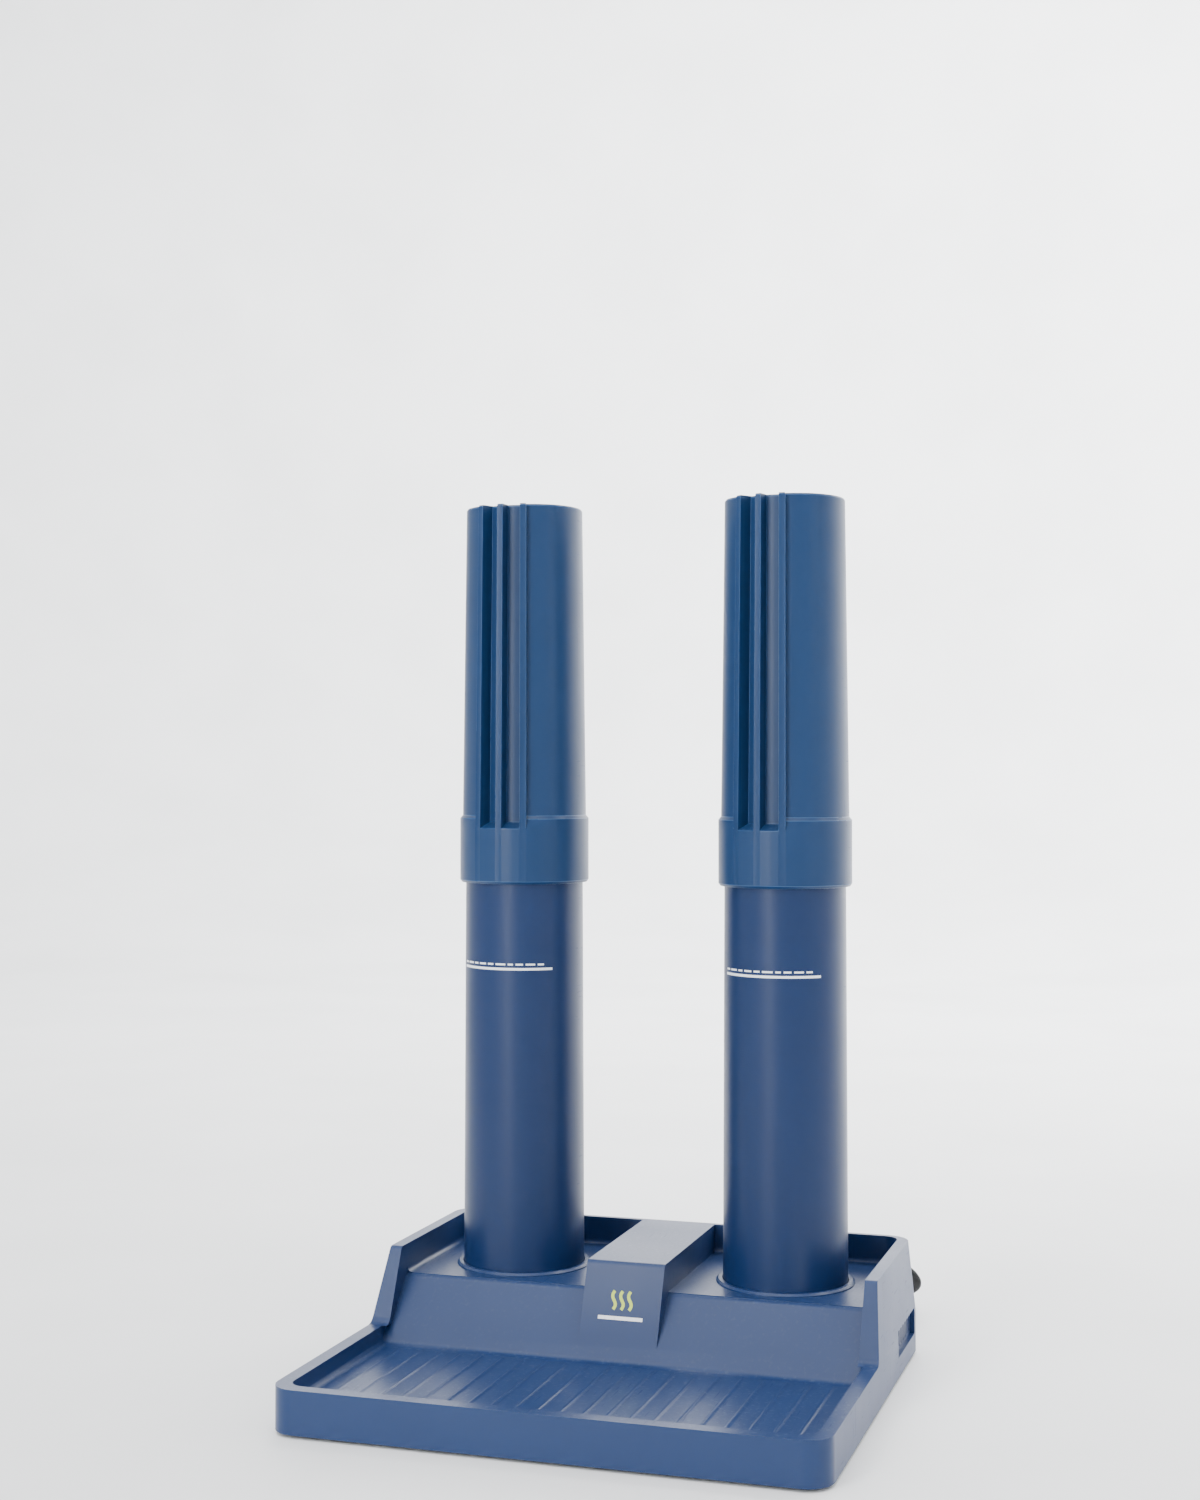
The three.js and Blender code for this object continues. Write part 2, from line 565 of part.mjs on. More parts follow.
function cordClamp() {
  const body = toSolid(box(CLAMP.x - 5, CLAMP.x + 5, CLAMP.y - 14, CLAMP.y + 7, plateRest, 14.5));
  const tunnel = new THREE.CylinderGeometry(3.5, 3.5, 30, 20).rotateZ(Math.PI / 2);
  tunnel.translate(CLAMP.x, CLAMP.y, 9.4);
  const slot = box(CLAMP.x - 15, CLAMP.x + 15, CLAMP.y - 3.5, CLAMP.y + 3.5, 0, 9.4);
  const hole = cylinder(CLAMP.x, CLAMP.y - 9, SHANK_RADIUS + GAP, 0, 30, 16);
  return [tunnel, slot, hole].reduce((whole, cut) => whole.subtract(toSolid(cut)), body);
}

add('cord_clamp', cordClamp(), LOOKS.terminal);

const clampScrew = [[0, 7], [SHANK_RADIUS, 7], [SHANK_RADIUS, 14.8], [3, 14.8], [3, 16.4], [0, 17]];
add('clamp_screw', turned(clampScrew, 16, CLAMP.x, CLAMP.y - 9), LOOKS.steel);

// ---------------------------------------------------------------- power cord
// Strain relief: a bush through the rear wall with a flange each side and a tapered boot outside.
function strainRelief() {
  const { inner, wallInner, wallOuter } = BUSH;
  const profile = [[0, inner], [6.8, inner], [6.8, wallInner], [6.2, wallInner], [6.2, wallOuter],
    [8.2, wallOuter], [8.2, wallOuter + 2], [6, wallOuter + 2.6], [3.9, BOOT_END - GAP], [0, BOOT_END - GAP]];
  const points = profile.map(([radius, y]) => new THREE.Vector2(radius, y));
  return new THREE.LatheGeometry(points, 24).translate(GLAND.x, 0, GLAND.z);
}

add('strain_relief', strainRelief(), LOOKS.blackPlastic);

// From the boot the cord swings out past the corner, drops to the floor and turns in to the coil.
const CORD_ROUTE = [
  [133, 176, 43], [133, 179, 43], [134.2, 186.4, 42.1], [136.8, 194.8, 39.6], [140, 202.8, 36],
  [142.8, 210.2, 31.5], [144.5, 217.6, 26.5], [144.2, 225.2, 21.4], [141.4, 232.6, 16.8],
  [136, 238.9, 12.7], [128.8, 243.8, 9.3], [120.4, 247.1, 6.7], [111.2, 249, 5],
  [101.7, 249.9, 4.1], [92, 250.4, 3.5], [82, 250.7, 3.2], [72, 251, 3.2],
  [62.4, 251.7, 3.3], [54, 252.6, 3.5], [46.5, 253.6, 3.8],
];
const cordPath = CORD_ROUTE.map((p) => new THREE.Vector3(...p));
add('power_cord', bar(cordPath, CORD_RADIUS, 10, 30), LOOKS.blackPlastic);

const coilRing = [[COIL.inner, COIL.bottom], [COIL.outer, COIL.bottom], [COIL.outer, COIL.top],
  [COIL.inner, COIL.top], [COIL.inner, COIL.bottom]];
add('cord_coil', turned(coilRing, 48, COIL.x, COIL.y), LOOKS.blackPlastic);

// A flat strap round the bundle of turns.
function cordTie() {
  const half = 4;
  const thick = 0.6;
  const x0 = COIL.x - COIL.outer - GAP;
  const x1 = COIL.x - Math.sqrt(COIL.inner ** 2 - half ** 2) + GAP;
  const inner = box(x0, x1, COIL.y - 9, COIL.y + 9, COIL.bottom - GAP + 0.05, COIL.top + GAP);
  const outer = box(x0 - thick, x1 + thick, COIL.y - half, COIL.y + half, 0, COIL.top + GAP + thick);
  return toSolid(outer).subtract(toSolid(inner));
}

add('cord_tie', cordTie(), LOOKS.rubber);

// The last of the cord leaves the top of the coil and ends in a plug that lies beside it.
const PLUG = { back: -64, front: -92, y: 249.6, z: 7.2 };
const TAIL_ROUTE = [
  [-22, 259.6, 9.9], [-32, 257.6, 9.4], [-41, 254.4, 8.6], [-50, 251.2, 7.7],
  [PLUG.back + 5, PLUG.y, PLUG.z], [PLUG.back + GAP, PLUG.y, PLUG.z],
];
add('cord_tail', bar(TAIL_ROUTE.map((p) => new THREE.Vector3(...p)), CORD_RADIUS, 10, 8), LOOKS.blackPlastic);

// Two-blade plug: tapered grip, rounded across its width, and two flat blades.
function plugBody() {
  const stations = [[PLUG.back, 4, 4], [PLUG.back - 6, 5.2, 4.8], [PLUG.back - 12, 10.5, 6.4],
    [PLUG.front + 3, 12.5, 7], [PLUG.front, 12.5, 7]];
  const levels = stations.map(([x, half, rise]) => ({
    z: -x,
    outline: roundedBox(-rise, rise, -half, half, Math.min(half, rise) * 0.6, 3),
  }));
  return stacked(levels).rotateY(-Math.PI / 2).translate(0, PLUG.y, PLUG.z);
}

add('plug_body', plugBody(), LOOKS.blackPlastic);

[['plug_blade_narrow', -6.35, 3.15], ['plug_blade_wide', 6.35, 3.95]].forEach(([name, offset, half]) => {
  const y = PLUG.y + offset;
  const outline = [[PLUG.front - GAP, half], [PLUG.front - 15, half], [PLUG.front - 16.5, half - 1.6],
    [PLUG.front - 16.5, 1.6 - half], [PLUG.front - 15, -half], [PLUG.front - GAP, -half]]
    .map(([x, z]) => new THREE.Vector2(x, PLUG.z + z));
  const blade = new THREE.ExtrudeGeometry(new THREE.Shape(outline), { depth: 1.5, bevelEnabled: false });
  add(name, blade.rotateX(Math.PI / 2).translate(0, y + 0.75, 0), LOOKS.brass);
});

export default part;
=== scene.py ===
"""Convection boot dryer on a pale floor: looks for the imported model, in metres, +Z up, front facing -Y."""
import json
import math

import bmesh
import bpy
from mathutils import Matrix, Vector


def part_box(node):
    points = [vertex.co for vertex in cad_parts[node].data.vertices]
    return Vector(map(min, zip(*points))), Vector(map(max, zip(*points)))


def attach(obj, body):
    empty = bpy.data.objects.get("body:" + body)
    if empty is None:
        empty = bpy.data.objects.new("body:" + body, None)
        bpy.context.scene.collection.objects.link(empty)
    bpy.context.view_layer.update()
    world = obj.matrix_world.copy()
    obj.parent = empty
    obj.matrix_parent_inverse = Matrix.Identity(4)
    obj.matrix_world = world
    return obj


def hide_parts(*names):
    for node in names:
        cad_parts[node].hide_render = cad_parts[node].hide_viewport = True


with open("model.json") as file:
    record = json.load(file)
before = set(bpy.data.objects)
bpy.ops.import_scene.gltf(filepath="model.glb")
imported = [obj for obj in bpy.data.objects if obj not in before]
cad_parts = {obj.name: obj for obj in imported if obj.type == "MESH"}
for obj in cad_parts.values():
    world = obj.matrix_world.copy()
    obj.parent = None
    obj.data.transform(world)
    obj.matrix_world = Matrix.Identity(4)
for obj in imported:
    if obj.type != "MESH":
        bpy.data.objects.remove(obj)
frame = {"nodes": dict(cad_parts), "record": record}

MM = 0.001
SHARP_EDGE = math.radians(32)       # edges whose faces turn by more than this are rounded
FLAT_ENOUGH = math.radians(0.8)     # faces that turn by less than this are merged
CREASE = math.radians(35)           # edges of turned pieces that are shaded sharp
WELD = 2e-5                         # metres, corners closer than this become one
NODES = frame["nodes"]
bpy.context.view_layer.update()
SIDES = ("left", "right")
BODY_OF = {node: body for body, nodes in frame["record"]["behaviour"]["bodies"].items() for node in nodes}


# ---------------------------------------------------------------- camera
CAMERA_PLACE = (0.3722, -1.205, 0.3686)
CAMERA_TURN = (90.6, 0, 17.6)       # degrees
CAMERA_LENS = 50.5                  # millimetres, on a sensor 36 wide


def make_camera():
    data = bpy.data.cameras.new("camera")
    data.lens = CAMERA_LENS
    data.sensor_width = 36
    camera = bpy.data.objects.new("camera", data)
    camera.location = CAMERA_PLACE
    camera.rotation_euler = [math.radians(turn) for turn in CAMERA_TURN]
    bpy.context.scene.collection.objects.link(camera)
    bpy.context.scene.camera = camera


make_camera()


# ---------------------------------------------------------------- mesh helpers
def show(name, data):
    piece = bpy.data.objects.new(name, data)
    bpy.context.scene.collection.objects.link(piece)
    return piece


def mesh_of(name, vertices, faces):
    mesh = bpy.data.meshes.new(name)
    mesh.from_pydata([tuple(v) for v in vertices], [], faces)
    mesh.validate()
    return mesh


def bake_modifiers(piece):
    graph = bpy.context.evaluated_depsgraph_get()
    mesh = bpy.data.meshes.new_from_object(piece.evaluated_get(graph))
    piece.modifiers.clear()
    piece.data = mesh


def soften(piece, width, segments=3):
    """Rounds every sharp edge by width, and shades the piece so that flat faces stay flat."""
    piece.data.shade_smooth()
    bevel = piece.modifiers.new("round", "BEVEL")
    bevel.width = width
    bevel.segments = segments
    bevel.limit_method = "ANGLE"
    bevel.angle_limit = SHARP_EDGE
    # The rounded faces take the second material where there is one: a lighter colour, painted there as a
    # highlight.
    bevel.material = 1 if len(piece.data.materials) > 1 else -1
    level = piece.modifiers.new("level", "WEIGHTED_NORMAL")
    level.mode = "FACE_AREA"
    level.weight = 80
    bake_modifiers(piece)


def stand_for(piece, body, slot, *nodes):
    """Puts a piece in the place of its CAD nodes, on their body; the slot argument is not used."""
    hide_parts(*nodes)
    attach(piece, body)
    return piece


def slot_of(node):
    return next(s["material_slot"] for s in frame["record"]["subparts"] if s["node"] == node)


def finished_copy(node, materials, width=0.5 * MM, segments=3, name=None):
    """A copy of a CAD node with clean faces, rounded edges and its finish; its second material, where given,
    is painted on the rounded edges as a highlight.
    """
    mesh = NODES[node].data.copy()
    mesh.materials.clear()
    for material in materials:
        mesh.materials.append(material)
    tidy = bmesh.new()
    tidy.from_mesh(mesh)
    bmesh.ops.remove_doubles(tidy, verts=tidy.verts, dist=WELD)
    bmesh.ops.dissolve_limit(tidy, angle_limit=FLAT_ENOUGH, verts=tidy.verts, edges=tidy.edges)
    for face in tidy.faces:
        face.material_index = 0
    tidy.to_mesh(mesh)
    tidy.free()
    piece = show(name or node + "_finished", mesh)
    soften(piece, width, segments)
    return stand_for(piece, BODY_OF[node], slot_of(node), node)


def turned(name, profile, axis_at, along="Z", sides=48):
    """A solid of revolution: profile is (radius, height) in millimetres, from one axis point to the other."""
    rings = []
    vertices = []
    for radius, height in profile:
        if radius == 0:
            rings.append([len(vertices)])
            vertices.append(Vector((0, 0, height * MM)))
            continue
        rings.append(list(range(len(vertices), len(vertices) + sides)))
        for i in range(sides):
            turn = 2 * math.pi * i / sides
            vertices.append(Vector((radius * MM * math.cos(turn), radius * MM * math.sin(turn), height * MM)))
    faces = []
    for low, high in zip(rings, rings[1:]):
        for i in range(sides):
            j = (i + 1) % sides
            corners = [low[i % len(low)], low[j % len(low)], high[j % len(high)], high[i % len(high)]]
            faces.append(list(dict.fromkeys(corners)))
    if along == "Y":
        vertices = [Vector((v.y, v.z, v.x)) for v in vertices]
    mesh = mesh_of(name, [v + Vector(axis_at) for v in vertices], faces)
    mesh.shade_smooth()
    mesh.set_sharp_from_angle(angle=CREASE)
    return show(name, mesh)


def strip_faces(steps):
    """The faces of a closed strip with four corners at each step."""
    last = 4 * steps
    faces = [(0, 2, 3, 1), (last, last + 1, last + 3, last + 2)]
    for i in range(0, last, 4):
        faces += [(i + 1, i + 3, i + 7, i + 5), (i, i + 4, i + 6, i + 2), (i, i + 1, i + 5, i + 4),
                  (i + 2, i + 6, i + 7, i + 3)]
    return faces


# ---------------------------------------------------------------- materials
class Look:
    """A node material built from object coordinates, so that its patterns stay on the piece."""

    def __init__(self, name, colour, roughness, metallic=0.0, specular=0.5):
        self.material = bpy.data.materials.new(name)
        self.material.use_nodes = True
        self.nodes = self.material.node_tree.nodes
        self.links = self.material.node_tree.links
        self.shader = self.nodes["Principled BSDF"]
        self.shader.inputs["Base Color"].default_value = (*colour, 1)
        self.shader.inputs["Roughness"].default_value = roughness
        self.shader.inputs["Metallic"].default_value = metallic
        self.shader.inputs["IOR"].default_value = 1.5
        self.shader.inputs["Specular IOR Level"].default_value = specular
        self.place = self.nodes.new("ShaderNodeTexCoord").outputs["Object"]
        self.colour = None
        self.rough = None
        self.height = None

    def noise(self, scale, detail=3, stretch=(1, 1, 1)):
        spread = self.nodes.new("ShaderNodeMapping")
        spread.inputs["Scale"].default_value = stretch
        self.links.new(self.place, spread.inputs["Vector"])
        noise = self.nodes.new("ShaderNodeTexNoise")
        noise.inputs["Scale"].default_value = scale
        noise.inputs["Detail"].default_value = detail
        self.links.new(spread.outputs["Vector"], noise.inputs["Vector"])
        return noise.outputs["Fac"]

    def ramp(self, value, low, high, out_low=0.0, out_high=1.0):
        node = self.nodes.new("ShaderNodeMapRange")
        limits = {"From Min": low, "From Max": high, "To Min": out_low, "To Max": out_high}
        for name, number in limits.items():
            node.inputs[name].default_value = number
        self.links.new(value, node.inputs["Value"])
        return node.outputs["Result"]

    def math(self, operation, a, b):
        node = self.nodes.new("ShaderNodeMath")
        node.operation = operation
        for socket, value in zip(node.inputs, (a, b)):
            if isinstance(value, (int, float)):
                socket.default_value = value
            else:
                self.links.new(value, socket)
        return node.outputs[0]

    def facing_up(self):
        split = self.nodes.new("ShaderNodeSeparateXYZ")
        self.links.new(self.nodes.new("ShaderNodeNewGeometry").outputs["Normal"], split.inputs["Vector"])
        return split.outputs["Z"]

    def tint(self, other, amount):
        """Mixes the colour towards another one by an amount from 0 to 1."""
        mix = self.nodes.new("ShaderNodeMix")
        mix.data_type = "RGBA"
        self.links.new(amount, mix.inputs["Factor"])
        if self.colour is None:
            mix.inputs["A"].default_value = self.shader.inputs["Base Color"].default_value
        else:
            self.links.new(self.colour, mix.inputs["A"])
        mix.inputs["B"].default_value = (*other, 1)
        self.colour = mix.outputs["Result"]
        self.links.new(self.colour, self.shader.inputs["Base Color"])
        return self

    def roughen(self, amount):
        """Adds an amount to the roughness."""
        before = self.rough if self.rough is not None else self.shader.inputs["Roughness"].default_value
        self.rough = self.math("ADD", before, amount)
        self.links.new(self.rough, self.shader.inputs["Roughness"])
        return self

    def emboss(self, height, depth):
        """A bump of a true depth in metres."""
        bump = self.nodes.new("ShaderNodeBump")
        bump.inputs["Strength"].default_value = 1.0
        bump.inputs["Distance"].default_value = depth
        self.links.new(height, bump.inputs["Height"])
        if self.height is not None:
            self.links.new(self.height, bump.inputs["Normal"])
        self.height = bump.outputs["Normal"]
        self.links.new(self.height, self.shader.inputs["Normal"])
        return self


DUST = (0.32, 0.36, 0.42)


def moulded(name, colour, deep, roughness, grain=0.006 * MM, dust=0.1, specular=0.5):
    """Injection-moulded plastic: cloudy pigment, a fine mould texture, scuffs and a little dust on top."""
    look = Look(name, colour, roughness, specular=specular)
    look.tint(deep, look.ramp(look.noise(9, 4), 0.3, 0.7, 0, 0.5))
    look.roughen(look.ramp(look.noise(14, 5), 0.25, 0.75, -0.03, 0.05))
    for stretch in ((1, 1, 0.04), (1, 0.05, 1)):
        hairlines = look.ramp(look.noise(900, 1, stretch), 0.7, 0.76)
        look.roughen(look.math("MULTIPLY", hairlines, 0.1))
    settled = look.ramp(look.facing_up(), 0.6, 1.0)
    specks = look.ramp(look.noise(420, 3), 0.56, 0.72)
    look.tint(DUST, look.math("MULTIPLY", look.math("MULTIPLY", settled, specks), dust))
    look.emboss(look.noise(30, 2), 0.03 * MM)
    look.emboss(look.noise(1500, 2), grain)
    return look.material


NAVY = (0.0095, 0.028, 0.094)
NAVY_DEEP = (0.0075, 0.023, 0.082)
# A lighter navy painted on the rounded edges of the base and the lower tubes as a highlight; the extension's
# edge look uses lighter blues for the same painted highlight.
EDGE_HIGHLIGHT_NAVY = (0.035, 0.075, 0.17)
TUBE_BLUE = (0.0065, 0.0205, 0.073)
TUBE_DEEP = (0.0055, 0.0175, 0.063)
EXTENSION_BLUE = (0.0062, 0.029, 0.088)
EXTENSION_DEEP = (0.0052, 0.024, 0.076)
LOOKS = {
    "base": moulded("base_plastic", NAVY, NAVY_DEEP, 0.34, specular=0.3),
    "base_edge_highlight": moulded("base_edge_highlight", EDGE_HIGHLIGHT_NAVY, NAVY, 0.26),
    "tube": moulded("tube_plastic", TUBE_BLUE, TUBE_DEEP, 0.34, specular=0.25),
    "tube_edge_highlight": moulded("tube_edge_highlight", EDGE_HIGHLIGHT_NAVY, NAVY, 0.26),
    "extension": moulded("extension_plastic", EXTENSION_BLUE, EXTENSION_DEEP, 0.36, specular=0.25),
    "extension_edge_highlight": moulded("extension_edge_highlight", (0.02, 0.075, 0.2), (0.014, 0.055, 0.15), 0.28),
    "black": moulded("black_plastic", (0.018, 0.018, 0.02), (0.012, 0.012, 0.013), 0.45, 0.02 * MM),
    "cord": moulded("cord_jacket", (0.007, 0.007, 0.008), (0.005, 0.005, 0.006), 0.55, 0.012 * MM,
                    0.02, 0.1),
}


def rubber():
    look = Look("foot_rubber", (0.016, 0.016, 0.017), 0.75)
    look.tint((0.05, 0.05, 0.05), look.ramp(look.noise(260, 4), 0.5, 0.75, 0, 0.6))
    return look.emboss(look.noise(900, 3), 0.03 * MM).material


def metal(name, colour, roughness, brushed=(1, 1, 1)):
    look = Look(name, colour, roughness, metallic=1.0)
    look.tint(tuple(0.6 * c for c in colour), look.ramp(look.noise(150, 5), 0.5, 0.8, 0, 0.5))
    look.roughen(look.ramp(look.noise(300, 3, brushed), 0.3, 0.7, -0.08, 0.12))
    return look.emboss(look.noise(500, 2, brushed), 0.01 * MM).material


def ceramic():
    look = Look("heater_ceramic", (0.78, 0.74, 0.66), 0.55)
    look.tint((0.5, 0.42, 0.33), look.ramp(look.noise(90, 4), 0.52, 0.8, 0, 0.6))
    return look.emboss(look.noise(700, 3), 0.03 * MM).material


def sleeve():
    """Woven glass sleeving: two crossed sets of fine ridges."""
    look = Look("lead_sleeve", (0.62, 0.58, 0.48), 0.7)
    waves = []
    for slant in (0.8, -0.8):
        spread = look.nodes.new("ShaderNodeMapping")
        spread.inputs["Rotation"].default_value = (slant, slant, slant)
        look.links.new(look.place, spread.inputs["Vector"])
        wave = look.nodes.new("ShaderNodeTexWave")
        wave.inputs["Scale"].default_value = 400
        look.links.new(spread.outputs["Vector"], wave.inputs["Vector"])
        waves.append(wave.outputs["Fac"])
    weave = look.math("MULTIPLY", *waves)
    look.tint((0.4, 0.36, 0.28), look.ramp(weave, 0.0, 0.5, 0.7, 0))
    return look.emboss(weave, 0.05 * MM).material


def ink(name, colour):
    look = Look(name, colour, 0.5)
    look.tint(tuple(0.75 * c for c in colour), look.ramp(look.noise(800, 4), 0.5, 0.75, 0, 0.5))
    return look.emboss(look.noise(1200, 2), 0.005 * MM).material


LOOKS["rubber"] = rubber()
LOOKS["steel"] = metal("screw_steel", (0.62, 0.63, 0.65), 0.32)
LOOKS["aluminium"] = metal("shield_aluminium", (0.74, 0.75, 0.77), 0.34, (1, 12, 1))
LOOKS["brass"] = metal("blade_brass", (0.72, 0.55, 0.25), 0.28, (14, 1, 1))
LOOKS["wire"] = metal("heater_wire", (0.3, 0.22, 0.17), 0.5)
LOOKS["ceramic"] = ceramic()
LOOKS["sleeve"] = sleeve()
LOOKS["terminal"] = moulded("terminal_plastic", (0.66, 0.64, 0.58), (0.55, 0.52, 0.45), 0.5)
LOOKS["white_ink"] = ink("white_ink", (0.8, 0.82, 0.85))
LOOKS["lime_ink"] = ink("lime_ink", (0.5, 0.62, 0.06))

# ---------------------------------------------------------------- power cord
# Millimetres. CORD_ROUTE follows the CAD cord's points and adds one on the way to the coil's start.
CORD_RADIUS = 3.0
CORD_EXIT = (133, 176, 43)
CORD_ROUTE = [
    CORD_EXIT, (133, 179, 43), (134.2, 186.4, 42.1), (136.8, 194.8, 39.6), (140, 202.8, 36),
    (142.8, 210.2, 31.5), (144.5, 217.6, 26.5), (144.2, 225.2, 21.4), (141.4, 232.6, 16.8),
    (136, 238.9, 12.7), (128.8, 243.8, 9.3), (120.4, 247.1, 6.7), (111.2, 249, 5),
    (101.7, 249.9, 4.1), (92, 250.4, 3.5), (82, 250.7, 3.2), (72, 251, 3.2),
    (62.4, 251.7, 3.3), (54, 252.6, 3.5), (46.5, 253.6, 3.8), (35, 256, 3.9),
]
TAIL_ROUTE = [
    (-8, 261.2, 10), (-22, 259.6, 9.9), (-32, 257.6, 9.4), (-41, 254.4, 8.6), (-50, 251.2, 7.7),
    (-59, 249.6, 7.2), (-63.7, 249.6, 7.2),
]
COIL_CENTRE = (8, 216)
COIL_TURNS = 7                      # whole turns, besides the part turn from entry to exit
COIL_OUTER = 46.2                   # radius to the cord's centreline, where the coil starts and ends
COIL_INNER = 23.4                   # the same where it climbs
COIL_ROWS = (3.95, 10.05)           # heights of the two layers
CLIMB = 1 / 3                       # turns taken to climb from the lower row to the upper
COIL_ENTRY = 70                     # degrees from +X
COIL_EXIT = 95
PER_TURN = 18                       # points in each turn


def coil_points():
    """Inwards along the floor, up at the middle, and outwards again on top."""
    turns = COIL_TURNS + (COIL_EXIT - COIL_ENTRY) / 360
    row = (turns - CLIMB) / 2
    points = []
    count = round(turns * PER_TURN)
    for i in range(count + 1):
        at = turns * i / count
        inward = min(at / row, 1)
        outward = max((at - row - CLIMB) / row, 0)
        climbed = min(max((at - row) / CLIMB, 0), 1)
        rise = climbed * climbed * (3 - 2 * climbed)
        radius = COIL_OUTER - (COIL_OUTER - COIL_INNER) * (inward - outward)
        angle = math.radians(COIL_ENTRY) + 2 * math.pi * at
        height = COIL_ROWS[0] + (COIL_ROWS[1] - COIL_ROWS[0]) * rise
        x = COIL_CENTRE[0] + radius * math.cos(angle)
        points.append((x, COIL_CENTRE[1] + radius * math.sin(angle), height))
    return points


def round_cord():
    points = [Vector(p) * MM for p in (*CORD_ROUTE, *coil_points(), *TAIL_ROUTE)]
    curve = bpy.data.curves.new("power_cord_whole", "CURVE")
    curve.dimensions = "3D"
    curve.bevel_depth = CORD_RADIUS * MM
    curve.bevel_resolution = 4
    curve.resolution_u = 5
    curve.use_fill_caps = True
    spline = curve.splines.new("BEZIER")
    spline.bezier_points.add(len(points) - 1)
    for knot, point in zip(spline.bezier_points, points):
        knot.co = point
        knot.handle_left_type = "AUTO"
        knot.handle_right_type = "AUTO"
    curve.materials.append(LOOKS["cord"])
    return show("power_cord_whole", curve)


def strain_relief():
    """A bush through the rear wall and a tapered boot with grooves round it."""
    low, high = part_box("strain_relief")
    start, end = low.y / MM, high.y / MM
    outer = start + 5.5
    profile = [(0, start), (6.3, start), (6.8, start + 0.5), (6.8, start + 2.1), (6.2, start + 2.1),
               (6.2, outer), (7.7, outer), (8.2, outer + 0.5), (8.2, outer + 1.6), (7.7, outer + 2.1)]
    rings = 7
    boot = outer + 3.2
    pitch = (end - 2.4 - boot) / rings
    for i in range(rings):
        at = boot + i * pitch
        radius = 6.0 - 1.9 * i / rings
        profile += [(radius, at), (radius, at + 0.58 * pitch), (radius - 1.0, at + 0.66 * pitch),
                    (radius - 1.0, at + 0.94 * pitch)]
    profile += [(4.0, end - 2.4), (4.0, end - 0.6), (3.6, end), (0, end)]
    piece = turned("strain_relief_ribbed", profile, ((low.x + high.x) / 2, 0, (low.z + high.z) / 2), "Y", 40)
    piece.data.materials.append(LOOKS["cord"])
    return stand_for(piece, "base", "cord_jacket", "strain_relief")


def cord_tie():
    """A soft strap once round the bundle, rounded at its corners."""
    low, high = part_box("cord_tie")
    thick, corner, steps = 0.55 * MM, 3.2 * MM, 6
    centre = (low + high) / 2
    half_x = (high.x - low.x) / 2 - thick
    half_z = (high.z - low.z) / 2 - thick
    loop = []
    for sx, sz, start in ((1, 1, 0), (-1, 1, 90), (-1, -1, 180), (1, -1, 270)):
        for i in range(steps + 1):
            turn = math.radians(start + 90 * i / steps)
            loop.append((Vector((sx * (half_x - corner), 0, sz * (half_z - corner))),
                         Vector((math.cos(turn), 0, math.sin(turn)))))
    half_y = (high.y - low.y) / 2
    vertices = []
    for middle, out in loop:
        for reach in (corner, corner + thick):
            for side in (-1, 1):
                vertices.append(centre + middle + out * reach + Vector((0, side * half_y, 0)))
    faces = []
    for i in range(len(loop)):
        a, b = 4 * i, 4 * ((i + 1) % len(loop))
        faces += [(a, a + 1, b + 1, b), (a + 2, b + 2, b + 3, a + 3), (a, b, b + 2, a + 2),
                  (a + 1, a + 3, b + 3, b + 1)]
    piece = show("cord_tie_strap", mesh_of("cord_tie_strap", vertices, faces))
    piece.data.materials.append(LOOKS["rubber"])
    soften(piece, 0.15 * MM, 2)
    return stand_for(piece, "base", "tie_plastic", "cord_tie")


def plug():
    grip = finished_copy("plug_body", [LOOKS["cord"]], 1.1 * MM, 4, "plug_grip")
    blades = [finished_copy(node, [LOOKS["brass"]], 0.25 * MM, 2)
              for node in ("plug_blade_narrow", "plug_blade_wide")]
    return [grip, *blades]


def make_cord():
    cord = round_cord()
    stand_for(cord, "base", "cord_jacket", "power_cord", "cord_coil", "cord_tail")
    strain_relief()
    cord_tie()
    plug()


make_cord()

# ---------------------------------------------------------------- base, tubes and what is inside
# Node, its look, how far its edges are rounded in millimetres, and in how many segments.
PAIRED_NODES = [
    ("guard_grille", "black", 0.4, 3), ("heater_core", "ceramic", 0.4, 3), ("heater_coil", "wire", 0.1, 2),
    ("heat_shield", "aluminium", 0.2, 2), ("heater_lead", "sleeve", 0.2, 2),
]
SINGLE_NODES = [
    ("bottom_plate", "black", 0.4, 3), ("cutout_lead", "sleeve", 0.2, 2),
    ("thermal_cutout", "aluminium", 0.3, 3), ("terminal_block", "terminal", 0.5, 3),
    ("cord_clamp", "terminal", 0.4, 3), ("clamp_screw", "steel", 0.2, 3), ("cord_inner_end", "cord", 0.2, 2),
]

finished_copy("base_shell", [LOOKS["base"], LOOKS["base_edge_highlight"]], 0.9 * MM, 4)
for side in SIDES:
    finished_copy(f"lower_tube_{side}", [LOOKS["tube"], LOOKS["tube_edge_highlight"]], 0.5 * MM)
    finished_copy(f"extension_tube_{side}", [LOOKS["extension"], LOOKS["extension_edge_highlight"]], 0.6 * MM)
    for node, look, rounding, segments in PAIRED_NODES:
        finished_copy(f"{node}_{side}", [LOOKS[look]], rounding * MM, segments)
for node, look, rounding, segments in SINGLE_NODES:
    finished_copy(node, [LOOKS[look]], rounding * MM, segments)
for number in range(1, 5):
    finished_copy(f"rubber_foot_{number}", [LOOKS["rubber"]], 0.4 * MM)


